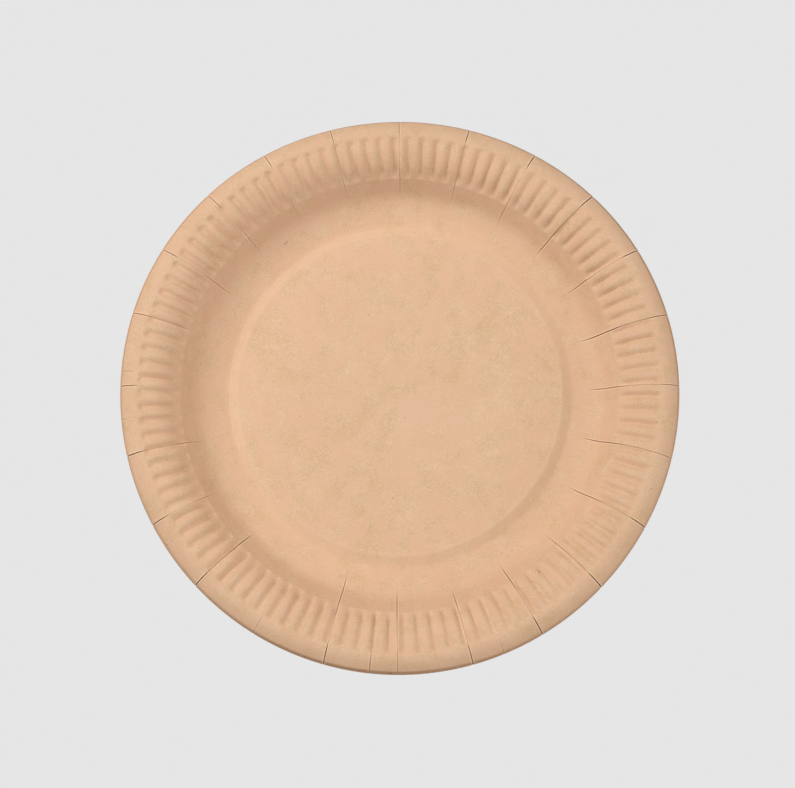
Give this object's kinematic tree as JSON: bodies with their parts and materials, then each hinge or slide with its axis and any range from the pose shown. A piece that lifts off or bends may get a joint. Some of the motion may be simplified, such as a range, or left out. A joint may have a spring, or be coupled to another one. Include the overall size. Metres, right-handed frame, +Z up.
{
  "type": "paper plate",
  "caption": "Round kraft paper plate: a flat base with a raised middle, a steep wall, a fluted rim with radial creases and a turned down edge.",
  "frame": {"origin": "middle of the plate's underside, on the surface it rests on", "axes": "+Z up out of the plate, +X along one of the radial creases"},
  "size_m": [0.23, 0.23, 0.0187],
  "materials": {
    "kraft_board": "matte uncoated kraft board"
  },
  "bodies": {
    "root": {"plate": "kraft_board"}
  },
  "joints": []
}
